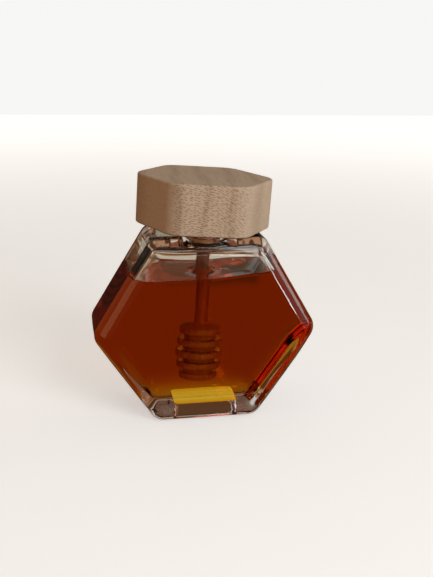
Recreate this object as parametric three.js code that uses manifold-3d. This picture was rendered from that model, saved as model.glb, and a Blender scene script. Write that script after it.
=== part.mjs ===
// Six-sided honey jar of clear glass, filled with honey, with a dipper under its wooden lid.
// Millimetres, +Z up. The origin is the middle of the jar's foot, X runs from tip to tip and
// Y runs from front (minus) to back.
import * as THREE from 'three';
import { mergeVertices } from 'three/addons/utils/BufferGeometryUtils.js';
import Module from 'manifold-3d';

const wasm = await Module();
wasm.setup();

// Glass body: a flat six-sided core outline, swept round by a ball of EDGE_RADIUS
const HALF_WIDTH = 50;
const BODY_HEIGHT = 85.7;
const BODY_DEPTH = 41;
const WAIST_HEIGHT = 41.6;
const EDGE_RADIUS = 6.9;
const WALL = 3.4;
const FLOOR_HEIGHT = 11;
const ROOF_THICKNESS = 5.4;
const FOOT_HALF_WIDTH = 19.5;
const HOLLOW_FOOT_HALF_WIDTH = 22;
const SHOULDER_HALF_WIDTH = 20.7;
const CORNER_STEPS = 3;
const EDGE_STEPS = 5;
// A bevel needs a contour to start from, so this much of each radius is already in the outline
const OUTLINE_RADIUS = 0.5;

// Low collar round the mouth
const MOUTH_RADIUS = 11.3;
const COLLAR_RADIUS = 15.2;
const COLLAR_TOP = 86.6;
const COLLAR_FILLET = 2.2;
const LIP_RADIUS = 0.7;
const BORE_ROUNDING = 2.2;
const ROUND_SEGMENTS = 48;
// How far a cutting tool runs past the face that it cuts
const CUT_PAST = 1;

// Panel pressed up into the thick foot, which leaves a bearing strip at each end
const PUSH_UP_WIDTH = 29;
const PUSH_UP_DEPTH = 25.4;
const PUSH_UP_HEIGHT = 7.5;
const PUSH_UP_CORNER = 3;

// Honey
const HONEY_LEVEL = 67.5;
const GAP = 0.3;

// Closure: lid block, cork stopper and dipper lean together, right side down
const LEAN = 2.9;
const CLOSURE_X = -0.2;
const CLOSURE_HEIGHT = 87.65;
const LID_CIRCUMRADIUS = 31.4;
const LID_CORNER_RADIUS = 9.9;
const LID_THICKNESS = 22;
const LID_EASE = 0.9;
const LID_TURN = -4;
const STOPPER_TOP_RADIUS = 10.7;
const STOPPER_FOOT_RADIUS = 10.3;
const STOPPER_LENGTH = 8;
const STOPPER_EASE = 0.8;

// Dipper: a thin handle over a barrel of discs cut by grooves, the top disc rising to the handle
const DIPPER_X = 0.8;
const HANDLE_RADIUS = 3;
const DIPPER_FOOT = 70.6;
const DISC_RADII = [8.7, 10.2, 11, 10.4, 9.6];
const DISC_THICKNESS = 3;
const DISC_PITCH = 5.45;
const DISC_EASE = 0.6;
const GROOVE_RADIUS = 7.2;
const HEAD_RISE = 1.6;
const DIPPER_SEGMENTS = 28;

const degrees = THREE.MathUtils.degToRad;

const glassMaterial = new THREE.MeshStandardMaterial({
  color: 0xd9ddd2, roughness: 0.05, metalness: 0, transparent: true, opacity: 0.35,
});
const honeyMaterial = new THREE.MeshStandardMaterial({ color: 0x8a3200, roughness: 0.15, metalness: 0 });
const corkMaterial = new THREE.MeshStandardMaterial({ color: 0x9a6a42, roughness: 0.9, metalness: 0 });
const lidMaterial = new THREE.MeshStandardMaterial({ color: 0xb39a7d, roughness: 0.75, metalness: 0 });
const dipperMaterial = new THREE.MeshStandardMaterial({ color: 0x8f5f38, roughness: 0.7, metalness: 0 });

/** A closed geometry as a solid that can be joined and cut. */
function solid(geometry) {
  const bare = geometry.clone();
  bare.deleteAttribute('normal');
  bare.deleteAttribute('uv');
  const merged = mergeVertices(bare, 1e-4);
  return new wasm.Manifold(new wasm.Mesh({
    numProp: 3,
    vertProperties: new Float32Array(merged.attributes.position.array),
    triVerts: new Uint32Array(merged.index.array),
  }));
}

/** The geometry of a joined or cut solid. */
function geometryOf(manifold) {
  const mesh = manifold.getMesh();
  const geometry = new THREE.BufferGeometry();
  geometry.setAttribute('position', new THREE.BufferAttribute(new Float32Array(mesh.vertProperties), 3));
  geometry.setIndex(new THREE.BufferAttribute(new Uint32Array(mesh.triVerts), 1));
  geometry.computeVertexNormals();
  return geometry;
}

/** Outline of a circle of this radius rolled round a convex polygon given anticlockwise. */
function rolledOutline(corners, radius) {
  const outline = new THREE.Shape();
  corners.forEach((corner, i) => {
    const before = corners[(i + corners.length - 1) % corners.length];
    const after = corners[(i + 1) % corners.length];
    const start = Math.atan2(corner[1] - before[1], corner[0] - before[0]) - Math.PI / 2;
    const end = Math.atan2(after[1] - corner[1], after[0] - corner[0]) - Math.PI / 2;
    outline.absarc(corner[0], corner[1], radius, start, end, false);
  });
  return outline;
}

/** The six-sided core, with its waist EDGE_RADIUS inside the tips. */
function coreCorners(foot, footHeight, shoulderHeight) {
  const tip = HALF_WIDTH - EDGE_RADIUS;
  return [
    [foot, footHeight], [tip, WAIST_HEIGHT], [SHOULDER_HALF_WIDTH, shoulderHeight],
    [-SHOULDER_HALF_WIDTH, shoulderHeight], [-tip, WAIST_HEIGHT], [-foot, footHeight],
  ];
}

/** A ball of this radius rolled round the flat core: the jar's outside or its hollow. */
function pillow(corners, radius) {
  const coreDepth = BODY_DEPTH - 2 * EDGE_RADIUS;
  const geometry = new THREE.ExtrudeGeometry(rolledOutline(corners, OUTLINE_RADIUS), {
    depth: coreDepth,
    curveSegments: CORNER_STEPS,
    bevelThickness: radius,
    bevelSize: radius - OUTLINE_RADIUS,
    bevelSegments: EDGE_STEPS,
  });
  geometry.translate(0, 0, -coreDepth / 2);
  geometry.rotateX(Math.PI / 2);
  return solid(geometry);
}

/** The hollow for the honey, smaller by inset all round. */
function hollow(inset) {
  const radius = EDGE_RADIUS - WALL;
  const roof = BODY_HEIGHT - ROOF_THICKNESS;
  const corners = coreCorners(HOLLOW_FOOT_HALF_WIDTH, FLOOR_HEIGHT + radius, roof - radius);
  return pillow(corners, radius - inset);
}

/** Points of a quarter turn from one angle to another, in degrees, round a centre. */
function arc(centreR, centreZ, radius, from, to, steps = 4) {
  return Array.from({ length: steps + 1 }, (_, i) => {
    const angle = degrees(from + (to - from) * i / steps);
    return new THREE.Vector2(centreR + radius * Math.cos(angle), centreZ + radius * Math.sin(angle));
  });
}

/** A solid of revolution about Z from radius and height points that run upwards. */
function turned(points, segments = ROUND_SEGMENTS) {
  const geometry = new THREE.LatheGeometry(points, segments);
  geometry.rotateX(Math.PI / 2);
  return geometry;
}

/** Collar with a fillet at its root and a rounded lip. */
function collar() {
  const rootHeight = COLLAR_TOP - LIP_RADIUS - COLLAR_FILLET;
  const sunk = BODY_HEIGHT - EDGE_RADIUS;
  return solid(turned([
    new THREE.Vector2(0, sunk),
    new THREE.Vector2(COLLAR_RADIUS + COLLAR_FILLET, sunk),
    ...arc(COLLAR_RADIUS + COLLAR_FILLET, rootHeight + COLLAR_FILLET, COLLAR_FILLET, 270, 180),
    ...arc(COLLAR_RADIUS - LIP_RADIUS, COLLAR_TOP - LIP_RADIUS, LIP_RADIUS, 0, 90).slice(1),
    new THREE.Vector2(0, COLLAR_TOP),
  ]));
}

/** What the mouth takes out of the glass: a bore that opens out at the roof and at the lip. */
function bore() {
  const roof = BODY_HEIGHT - ROOF_THICKNESS;
  const below = roof - BORE_ROUNDING;
  return solid(turned([
    new THREE.Vector2(0, below),
    new THREE.Vector2(MOUTH_RADIUS + BORE_ROUNDING, below),
    ...arc(MOUTH_RADIUS + BORE_ROUNDING, roof + BORE_ROUNDING, BORE_ROUNDING, 270, 180),
    ...arc(MOUTH_RADIUS + LIP_RADIUS, COLLAR_TOP - LIP_RADIUS, LIP_RADIUS, 180, 90),
    new THREE.Vector2(MOUTH_RADIUS + LIP_RADIUS, COLLAR_TOP + CUT_PAST),
    new THREE.Vector2(0, COLLAR_TOP + CUT_PAST),
  ]));
}

/** What the pressed-up foot takes out of the glass. */
function pushUp() {
  const x = PUSH_UP_WIDTH / 2 - PUSH_UP_CORNER;
  const y = PUSH_UP_DEPTH / 2 - PUSH_UP_CORNER;
  const outline = rolledOutline([[x, -y], [x, y], [-x, y], [-x, -y]], PUSH_UP_CORNER);
  const geometry = new THREE.ExtrudeGeometry(outline, {
    depth: 2 * PUSH_UP_HEIGHT, curveSegments: CORNER_STEPS, bevelEnabled: false,
  });
  geometry.translate(0, 0, -PUSH_UP_HEIGHT);
  return solid(geometry);
}

/** Handle and discs, grown outwards by grow, from the dipper's foot up to this height. */
function dipperGeometry(grow, top) {
  const points = [new THREE.Vector2(0, -grow)];
  DISC_RADII.forEach((radius, i) => {
    const low = i * DISC_PITCH - grow;
    const high = low + DISC_THICKNESS + 2 * grow;
    const rim = radius + grow;
    if (i > 0) points.push(new THREE.Vector2(GROOVE_RADIUS + grow, low));
    points.push(new THREE.Vector2(rim - DISC_EASE, low), new THREE.Vector2(rim, low + DISC_EASE));
    points.push(new THREE.Vector2(rim, high - DISC_EASE), new THREE.Vector2(rim - DISC_EASE, high));
    const last = i === DISC_RADII.length - 1;
    const inner = last ? HANDLE_RADIUS : GROOVE_RADIUS;
    points.push(new THREE.Vector2(inner + grow, last ? high + HEAD_RISE : high));
  });
  points.push(new THREE.Vector2(HANDLE_RADIUS + grow, top), new THREE.Vector2(0, top));
  return turned(points, DIPPER_SEGMENTS);
}

/** Cork stopper, hanging down from the lid's underside. */
function stopperGeometry() {
  const foot = -STOPPER_LENGTH;
  return turned([
    new THREE.Vector2(0, foot),
    ...arc(STOPPER_FOOT_RADIUS - STOPPER_EASE, foot + STOPPER_EASE, STOPPER_EASE, 270, 360, 3),
    new THREE.Vector2(STOPPER_TOP_RADIUS, -GAP),
    new THREE.Vector2(0, -GAP),
  ]);
}

/** Lid block: a regular hexagon in plan with well rounded corners and eased edges. */
function lidGeometry() {
  const reach = LID_CIRCUMRADIUS - LID_CORNER_RADIUS / Math.cos(degrees(30));
  const corners = Array.from({ length: 6 }, (_, i) => [
    reach * Math.cos(degrees(60 * i)), reach * Math.sin(degrees(60 * i)),
  ]);
  const geometry = new THREE.ExtrudeGeometry(rolledOutline(corners, LID_CORNER_RADIUS - LID_EASE), {
    depth: LID_THICKNESS - 2 * LID_EASE,
    curveSegments: CORNER_STEPS,
    bevelThickness: LID_EASE,
    bevelSize: LID_EASE,
    bevelSegments: 3,
  });
  geometry.translate(0, 0, LID_EASE);
  return geometry;
}

/** Puts the closure, made with the lid's underside at height 0, where it hangs in the jar. */
function placeClosure(object) {
  object.position.set(CLOSURE_X, 0, CLOSURE_HEIGHT);
  object.rotation.set(0, degrees(LEAN), 0);
  object.updateMatrixWorld();
  return object;
}

/** A mesh with its node's name. */
function named(name, geometry, material) {
  const mesh = new THREE.Mesh(geometry, material);
  mesh.name = name;
  return mesh;
}

const outsideCorners = coreCorners(FOOT_HALF_WIDTH, EDGE_RADIUS, BODY_HEIGHT - EDGE_RADIUS);
const glass = pillow(outsideCorners, EDGE_RADIUS)
  .add(collar())
  .subtract(hollow(0))
  .subtract(bore())
  .subtract(pushUp());

// The dipper's place in the jar, for cutting the honey round it
const dipperPlace = new THREE.Object3D();
dipperPlace.position.set(DIPPER_X, 0, -DIPPER_FOOT);
const closure = placeClosure(new THREE.Group().add(dipperPlace));
const dipperTop = DIPPER_FOOT - STOPPER_LENGTH - GAP;
const dipperRoom = dipperGeometry(GAP, DIPPER_FOOT - GAP).applyMatrix4(dipperPlace.matrixWorld);

const fillBox = new THREE.BoxGeometry(2 * HALF_WIDTH, BODY_DEPTH, HONEY_LEVEL);
fillBox.translate(0, 0, HONEY_LEVEL / 2);
const honey = hollow(GAP).intersect(solid(fillBox)).subtract(solid(dipperRoom));

const lid = named('lid', lidGeometry(), lidMaterial);
lid.rotation.z = degrees(LID_TURN);
dipperPlace.add(named('dipper', dipperGeometry(0, dipperTop), dipperMaterial));
closure.add(lid, named('stopper', stopperGeometry(), corkMaterial));

const jar = new THREE.Group();
jar.add(named('glass_jar', geometryOf(glass), glassMaterial));
jar.add(named('honey', geometryOf(honey), honeyMaterial));
jar.add(closure);

export default jar;
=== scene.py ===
# %% [markdown]
# # A honey jar in clear glass
# A small flat six-sided jar stands full of amber honey. A wooden lid block sits on a cork in its
# mouth, and a wooden dipper hangs from the lid into the honey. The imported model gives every
# size and place. This file makes the fine surfaces and finishes round it.

# %% Load the model
import math

import bpy
import numpy as np
from mathutils import Matrix, Vector


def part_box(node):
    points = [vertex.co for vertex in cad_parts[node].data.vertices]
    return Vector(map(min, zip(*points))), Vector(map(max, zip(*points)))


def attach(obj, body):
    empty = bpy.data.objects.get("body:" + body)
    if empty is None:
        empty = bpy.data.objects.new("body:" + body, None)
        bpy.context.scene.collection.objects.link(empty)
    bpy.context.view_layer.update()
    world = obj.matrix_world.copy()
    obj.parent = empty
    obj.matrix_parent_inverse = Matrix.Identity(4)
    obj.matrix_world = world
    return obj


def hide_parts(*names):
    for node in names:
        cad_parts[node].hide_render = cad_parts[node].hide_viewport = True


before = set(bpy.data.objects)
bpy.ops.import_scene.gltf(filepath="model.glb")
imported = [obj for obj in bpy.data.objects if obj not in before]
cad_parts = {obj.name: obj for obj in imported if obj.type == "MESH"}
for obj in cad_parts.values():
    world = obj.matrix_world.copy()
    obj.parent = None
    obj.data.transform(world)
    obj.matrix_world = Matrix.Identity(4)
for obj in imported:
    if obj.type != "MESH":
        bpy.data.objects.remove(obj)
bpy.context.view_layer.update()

MM = 0.001
print("nodes:", sorted(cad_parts))

# %% [markdown]
# ## Camera
# The jar is seen from a little to its left and above, with a lens of about 50 mm at a distance of
# 37 cm. A Track To constraint could aim the camera, but it can't roll it. So the camera is placed
# by its angles round the waist of the jar. Two small offsets slide it sideways and up, so that
# the lens needs no shift.

# %% Camera
WAIST_HEIGHT = 41.6 * MM
CAMERA_ELEVATION = math.radians(17.29)
CAMERA_AZIMUTH = math.radians(-11.2)
CAMERA_ROLL = math.radians(1.19)
CAMERA_DISTANCE = 371.9 * MM
CAMERA_OFFSET = (6.98 * MM, 15.1 * MM)
LENS, SENSOR_WIDTH, NEAREST = 49.91, 36, 0.01


def place_camera():
    """A camera that looks along one direction: back is the direction to the camera, right lies
    level, up is square to both, and the roll turns right and up round back."""
    back = Vector((math.sin(CAMERA_AZIMUTH) * math.cos(CAMERA_ELEVATION),
                   -math.cos(CAMERA_AZIMUTH) * math.cos(CAMERA_ELEVATION),
                   math.sin(CAMERA_ELEVATION)))
    right = Vector((math.cos(CAMERA_AZIMUTH), math.sin(CAMERA_AZIMUTH), 0))
    up = back.cross(right)
    rolled_right = right * math.cos(CAMERA_ROLL) + up * math.sin(CAMERA_ROLL)
    rolled_up = up * math.cos(CAMERA_ROLL) - right * math.sin(CAMERA_ROLL)
    eye = back * CAMERA_DISTANCE + rolled_right * CAMERA_OFFSET[0] + rolled_up * CAMERA_OFFSET[1]
    eye += Vector((0, 0, WAIST_HEIGHT))
    data = bpy.data.cameras.new("camera")
    data.lens = LENS
    data.sensor_width = SENSOR_WIDTH
    data.clip_start = NEAREST
    camera = bpy.data.objects.new("camera", data)
    axes = Matrix((rolled_right, rolled_up, back)).transposed()
    camera.matrix_world = Matrix.Translation(eye) @ axes.to_4x4()
    bpy.context.scene.collection.objects.link(camera)
    return camera


bpy.context.scene.camera = place_camera()
print("camera at", [round(c, 4) for c in bpy.context.scene.camera.location])

# %% [markdown]
# ## Small helpers for nodes
# Every finish below is a network of nodes. It could be drawn by hand in the shader editor, but
# written out it can be read and made again. One helper adds a node, sets its values and links
# its inputs, so that a finish reads like a recipe.


# %% Adding a node
def give(tree, node, inputs):
    """Gives each named input of a node a value or a link."""
    for key, value in inputs.items():
        if isinstance(value, bpy.types.NodeSocket):
            tree.links.new(value, node.inputs[key])
        else:
            node.inputs[key].default_value = value


def add(tree, kind, inputs=None, **settings):
    """Adds a node with its settings and inputs."""
    node = tree.nodes.new(kind)
    for key, value in settings.items():
        setattr(node, key, value)
    give(tree, node, inputs or {})
    return node


# %% Sums
def math_node(tree, operation, first, second=0.0, third=0.0):
    """The result of one sum on one, two or three values or sockets."""
    values = {0: first, 1: second, 2: third}
    return add(tree, "ShaderNodeMath", values, operation=operation).outputs[0]


def vector_node(tree, operation, first, second=(0, 0, 0)):
    """The result of one sum on one or two vectors. A length or a dot product is a number."""
    node = add(tree, "ShaderNodeVectorMath", {0: first, 1: second}, operation=operation)
    return node.outputs["Value" if operation in ("LENGTH", "DOT_PRODUCT") else "Vector"]


def parts_of(tree, vector):
    """The X, Y and Z of a vector."""
    return add(tree, "ShaderNodeSeparateXYZ", {0: vector}).outputs


# %% [markdown]
# A Mix node has one set of sockets for numbers, one for vectors and one for colours, all under
# the same names. So its colour sockets are reached by their numbers.

# %% Colours and patterns
COLOUR_A, COLOUR_B, COLOUR_OUT = 6, 7, 2


def opaque(colour):
    """A colour with its fourth number, or a socket as it is."""
    return colour if isinstance(colour, bpy.types.NodeSocket) else (*colour, 1)


def mix_colour(tree, share, first, second):
    """The colour between two colours, by a share from 0 to 1."""
    node = add(tree, "ShaderNodeMix", {"Factor": share}, data_type="RGBA")
    give(tree, node, {COLOUR_A: opaque(first), COLOUR_B: opaque(second)})
    return node.outputs[COLOUR_OUT]


def ramp(tree, value, low, high, start=0.0, end=1.0):
    """A smooth step: start where the value is below low, end where it is above high."""
    limits = {"Value": value, "From Min": low, "From Max": high, "To Min": start, "To Max": end}
    node = add(tree, "ShaderNodeMapRange", limits, interpolation_type="SMOOTHSTEP")
    return node.outputs["Result"]


def noise(tree, vector, scale, detail, roughness=0.5):
    """Smooth random values from 0 to 1 with blots about 1 / scale wide."""
    values = {"Vector": vector, "Scale": scale, "Detail": detail, "Roughness": roughness}
    return add(tree, "ShaderNodeTexNoise", values).outputs["Fac"]


def bump(tree, height, distance, strength):
    """The normal of a surface that rises by the height times a distance in metres."""
    values = {"Height": height, "Distance": distance, "Strength": strength}
    return add(tree, "ShaderNodeBump", values).outputs[0]


# %% Materials and rays
def mirror_share(tree, path):
    """1 for rays that a surface mirrors, 0 or less for rays that come through glass."""
    return math_node(tree, "SUBTRACT", path.outputs["Is Glossy Ray"],
                     path.outputs["Is Transmission Ray"])


def new_material(name):
    """An empty node material with its output and a Principled BSDF, already linked."""
    material = bpy.data.materials.new(name)
    material.use_nodes = True
    tree = material.node_tree
    tree.nodes.clear()
    shader = add(tree, "ShaderNodeBsdfPrincipled")
    output = add(tree, "ShaderNodeOutputMaterial", {"Surface": shader.outputs[0]})
    return material, tree, shader, output


# %% [markdown]
# ## Floor, room and light
# The floor is plain and pale. Clear glass shows whatever is behind it, and here that is a dim
# brown table in front of a pale wall. A real table and wall would fill the picture as well. So
# the floor looks brown to every ray that has passed the glass and pale to the camera itself. A
# Light Path node tells the two kinds of ray apart. The brown is emitted light that stands in
# for a lit table, and the jar's shadows and glows on it are painted in.

# %% Floor
FLOOR_SIZE = 3.0


def floor_piece():
    """A level square at the height that the jar stands on."""
    half = FLOOR_SIZE / 2
    mesh = bpy.data.meshes.new("floor")
    mesh.from_pydata([(-half, -half, 0), (half, -half, 0), (half, half, 0), (-half, half, 0)],
                     [], [(0, 1, 2, 3)])
    piece = bpy.data.objects.new("floor", mesh)
    bpy.context.scene.collection.objects.link(piece)
    return piece


floor = floor_piece()
print("floor", FLOOR_SIZE, "m square")

# %% [markdown]
# The table has bands, each as far from the jar as the part of the glass that shows it needs.
# They were found by tracing which place on the table each part of the glass shows. The bands
# are painted light and shade: a painted contact shadow under the push-up, a painted caustic
# glow close behind, the honey's painted orange shadow, a ring of painted shade and a painted
# pool of light on the right.

# %% Floor and table colours
PALE = (0.86, 0.86, 0.85)
GLOW_NEAR, GLOW_FAR = 0.55, 0.95
# Painted orange shadow of the honey on the table behind the jar.
TABLE_HONEY_SHADOW = (0.21, 0.068, 0.035)
# Painted caustic glow on the table close behind the jar.
TABLE_CAUSTIC_GLOW = (0.31, 0.19, 0.135)
# Painted contact shadow on the table under the push-up.
TABLE_CONTACT_SHADOW = (0.09, 0.035, 0.013)
# Painted pool of window light on the table, on the right.
TABLE_LIT_BAND = (0.55, 0.47, 0.36)
# Painted shade: a dark ring on the table round the jar.
TABLE_SHADE = (0.10, 0.05, 0.03)
TABLE_FAR = (0.34, 0.18, 0.08)
TABLE_BESIDE = (0.33, 0.24, 0.165)
# Painted dark reflection: the floor as the glass mirrors it.
TABLE_MIRRORED = (0.03, 0.02, 0.012)
GLOW_EDGE, NEAR_EDGE = (0.15, 1.3), (0.025, 0.06)
SHADE_EDGE, FAR_EDGE = (0.20, 0.23), (0.42, 0.52)
LIT_BAND_START, LIT_BAND_END, LIT_BAND_SIDE = (0.275, 0.295), (0.7, 0.9), (-0.02, 0.02)
CONTACT_SHADOW_HALF_SIZE, CONTACT_SHADOW_EDGE, BESIDE_EDGE = (14.8 * MM, 13.0 * MM), (0.97, 1.03), (1.45, 1.65)
print("push-up seen dark over mm", [2 * half / MM for half in CONTACT_SHADOW_HALF_SIZE])


# %% Floor finish
def floor_material():
    """Pale and matt for the camera. For rays that come through the glass, emitted brown with
    painted light and shade: a painted contact shadow under the push-up, a painted caustic glow
    close by, the honey's painted orange shadow, then a ring of painted shade, a painted pool of
    light on the right and warm brown far off. Nearly black for rays that the glass mirrors, a
    painted dark reflection."""
    material, tree, shader, output = new_material("pale floor")
    where = add(tree, "ShaderNodeTexCoord").outputs["Object"]
    tint = mix_colour(tree, noise(tree, where, 25.0, 3.0), [c * 0.98 for c in PALE], PALE)
    distance = vector_node(tree, "LENGTH", where)
    glow = ramp(tree, distance, *GLOW_EDGE, GLOW_NEAR, GLOW_FAR)
    give(tree, shader, {"Base Color": tint, "Roughness": 0.9, "Specular IOR Level": 0.1,
                        "Emission Color": opaque(PALE), "Emission Strength": glow})
    # Painted caustic glow close by, then the honey's painted orange shadow.
    brown = mix_colour(tree, ramp(tree, distance, *NEAR_EDGE), TABLE_CAUSTIC_GLOW, TABLE_HONEY_SHADOW)
    # A ring of painted shade, then warm brown far off.
    for edge, colour in ((SHADE_EDGE, TABLE_SHADE), (FAR_EDGE, TABLE_FAR)):
        brown = mix_colour(tree, ramp(tree, distance, *edge), brown, colour)
    # A painted pool of light: a cream band on the right.
    lit_band = math_node(tree, "MULTIPLY", ramp(tree, distance, *LIT_BAND_START),
                     ramp(tree, parts_of(tree, where)["X"], *LIT_BAND_SIDE))
    lit_band = math_node(tree, "MULTIPLY", lit_band, ramp(tree, distance, *LIT_BAND_END, 1, 0))
    brown = mix_colour(tree, lit_band, brown, TABLE_LIT_BAND)
    per_size = (1 / CONTACT_SHADOW_HALF_SIZE[0], 1 / CONTACT_SHADOW_HALF_SIZE[1], 0)
    sides = vector_node(tree, "ABSOLUTE", vector_node(tree, "MULTIPLY", where, per_size))
    sides = parts_of(tree, sides)
    brown = mix_colour(tree, ramp(tree, sides["Y"], *BESIDE_EDGE), TABLE_BESIDE, brown)
    farther = math_node(tree, "MAXIMUM", sides["X"], sides["Y"])
    # Painted contact shadow: dark under the push-up.
    brown = mix_colour(tree, ramp(tree, farther, *CONTACT_SHADOW_EDGE), TABLE_CONTACT_SHADOW, brown)
    path = add(tree, "ShaderNodeLightPath")
    # Painted dark reflection: nearly black for rays that the glass mirrors.
    brown = mix_colour(tree, mirror_share(tree, path), brown, TABLE_MIRRORED)
    # The table seen through the glass glows: emitted light standing in for a lit table.
    seen = add(tree, "ShaderNodeEmission", {"Color": brown})
    both = add(tree, "ShaderNodeMixShader", {0: path.outputs["Is Camera Ray"], 1: seen.outputs[0],
                                             2: shader.outputs[0]})
    tree.links.new(both.outputs[0], output.inputs["Surface"])
    return material


floor.data.materials.append(floor_material())
print("floor is", floor.active_material.name)

# %% [markdown]
# The room is pale behind the jar above a dark horizon, because the base and the shoulder show
# cream there, and dim and warm in front and overhead. It is one broad picture of light, which
# soft rays find from inside the honey as well. A small lamp would only be found by chance there
# and leave sparks. A second, brighter window is shown to mirrored rays alone: it makes the
# bright line on the right edge and leaves the honey as it is.

# %% Room colours
ROOM_WHITE = (0.93, 0.93, 0.92)
ROOM_HORIZON = (0.075, 0.03, 0.012)
ROOM_BACK_LOW = (0.38, 0.20, 0.11)
ROOM_BACK = (0.62, 0.585, 0.52)
ROOM_FRONT = (0.30, 0.22, 0.16)
ROOM_LEFT = (0.17, 0.09, 0.045)
ROOM_RIGHT = (0.27, 0.285, 0.31)
SIDE_WINDOW = (2.2, 2.3, 2.4)
SIDE_WINDOW_WAY = Vector((0.92, 0.22, 0.2)).normalized()
LOW_WINDOW = (16.0, 16.8, 17.4)
LOW_WINDOW_WAY = Vector((0.82, -0.57, -0.015)).normalized()
ROOM_TOP = (0.235, 0.19, 0.15)
HORIZON_STEP, BACK_STEP, TOP_STEP = (0.18, 0.23), (0.30, 0.36), (0.42, 0.6)
LEFT_STEP, RIGHT_STEP, DEPTH_STEP = (-0.5, 0.1), (0.3, 0.8), (-0.1, 0.45)
SIDE_WINDOW_EDGE, LOW_WINDOW_EDGE = (0.982, 0.989), (0.9965, 0.9982)
print("side window towards", [round(part, 2) for part in SIDE_WINDOW_WAY])


# %% Room
def cone(tree, direction, way, edge):
    """1 in a small cone round a direction and 0 outside it."""
    return ramp(tree, vector_node(tree, "DOT_PRODUCT", direction, way), *edge)


def room():
    """White to the camera. To all other rays pale behind, brown in front and on the left,
    greyer on the right with a small bright window, and dim overhead."""
    world = bpy.data.worlds.new("room")
    world.use_nodes = True
    tree = world.node_tree
    tree.nodes.clear()
    direction = add(tree, "ShaderNodeTexCoord").outputs["Generated"]
    parts = parts_of(tree, direction)
    low = mix_colour(tree, ramp(tree, parts["Z"], *HORIZON_STEP), ROOM_HORIZON, ROOM_BACK_LOW)
    back = mix_colour(tree, ramp(tree, parts["Z"], *BACK_STEP), low, ROOM_BACK)
    front = mix_colour(tree, ramp(tree, parts["X"], *LEFT_STEP), ROOM_LEFT, ROOM_FRONT)
    front = mix_colour(tree, ramp(tree, parts["X"], *RIGHT_STEP), front, ROOM_RIGHT)
    walls = mix_colour(tree, ramp(tree, parts["Y"], *DEPTH_STEP), front, back)
    seen = mix_colour(tree, ramp(tree, parts["Z"], *TOP_STEP), walls, ROOM_TOP)
    share = cone(tree, direction, SIDE_WINDOW_WAY, SIDE_WINDOW_EDGE)
    seen = mix_colour(tree, share, seen, SIDE_WINDOW)
    path = add(tree, "ShaderNodeLightPath")
    share = math_node(tree, "MULTIPLY", cone(tree, direction, LOW_WINDOW_WAY, LOW_WINDOW_EDGE),
                      mirror_share(tree, path))
    seen = mix_colour(tree, share, seen, LOW_WINDOW)
    colour = mix_colour(tree, path.outputs["Is Camera Ray"], seen, ROOM_WHITE)
    light = add(tree, "ShaderNodeBackground", {"Color": colour, "Strength": 1.0})
    add(tree, "ShaderNodeOutputWorld", {"Surface": light.outputs[0]})
    bpy.context.scene.world = world


room()
bpy.context.scene.view_settings.view_transform = "Standard"
bpy.context.scene.cycles.max_bounces = 20
bpy.context.scene.cycles.transmission_bounces = 18
print("room", bpy.context.scene.world.name, "with 18 bounces through glass")

# %% [markdown]
# A tall soft window stands in front of the jar on its right. It lights the front and the right
# of the lid alike, the top less, and leaves the left side to the warm room. A wider one would
# show as red patches in the honey's surface. A weak warm light stands for the room on the left.


# %% Windows
JAR_MIDDLE = Vector((0, 0, 0.055))


def window_light(name, place, size, power, colour):
    """A soft rectangular light at a place, turned towards the middle of the jar."""
    data = bpy.data.lights.new(name, "AREA")
    data.shape = "RECTANGLE"
    data.size, data.size_y = size
    data.energy = power
    data.color = colour
    lamp = bpy.data.objects.new(name, data)
    lamp.location = place
    lamp.rotation_euler = (JAR_MIDDLE - Vector(place)).to_track_quat("-Z", "Y").to_euler()
    bpy.context.scene.collection.objects.link(lamp)
    print(name, size, "m,", power, "W")


window_light("front window", (0.46, -0.89, 0.36), (0.5, 1.1), 7.9, (0.98, 1, 1))
window_light("left room light", (-0.9, -0.25, 0.25), (0.5, 0.5), 0.8, (1, 0.6, 0.3))

# %% [markdown]
# ## Surfaces from loops
# Glass, honey and turned wood have no flat facets. They could be built from cubes with Bevel
# and Subdivision Surface, but then a thickness is only roughly known. Here every piece is one
# closed skin of loops: a loop runs once round the piece, the next lies beside it, and a single
# point closes each end. All points are worked out as whole arrays.


# %% Loops to mesh
def skin(name, loops, first, last):
    """A closed mesh from loops, an array of rows x points x 3, with a pole before the first row
    and one after the last. Loops run anticlockwise round the line from first to last on the
    outside, which turns all faces outwards."""
    rows, count, _ = loops.shape
    points = np.concatenate([loops.reshape(-1, 3), [first], [last]])
    here = np.arange(count)
    after = (here + 1) % count
    start = np.arange(rows - 1)[:, None] * count
    quads = np.stack([start + here, start + after, start + count + after, start + count + here], -1)
    pole = rows * count
    top = (rows - 1) * count
    bottom_fan = np.stack([np.full(count, pole), after, here], -1)
    top_fan = np.stack([top + here, top + after, np.full(count, pole + 1)], -1)
    faces = quads.reshape(-1, 4).tolist() + bottom_fan.tolist() + top_fan.tolist()
    mesh = bpy.data.meshes.new(name)
    mesh.from_pydata(points.tolist(), [], faces)
    mesh.shade_smooth()
    piece = bpy.data.objects.new(name, mesh)
    bpy.context.scene.collection.objects.link(piece)
    low, high = (points.min(0) / MM).round(2), (points.max(0) / MM).round(2)
    print(name, "triangles", 2 * rows * count, "box mm", low, high)
    return piece


def mark_loops(piece, count, values, first, last):
    """Stores one number for each loop, and one for each pole, in the attribute "touching"."""
    attribute = piece.data.attributes.new("touching", "FLOAT", "POINT")
    attribute.data.foreach_set("value", np.concatenate([np.repeat(values, count), [first, last]]))


# %% [markdown]
# Glass, wood and cork are never quite even. A Displace modifier could waver them, but it would
# open gaps between pieces that touch. So the unevenness is one formula, used where a piece's
# points are worked out. Its dice are seeded, so that each run gives the same jar.

# %% Unevenness
WAVES, FASTEST_WAVE = 24, 6


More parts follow.
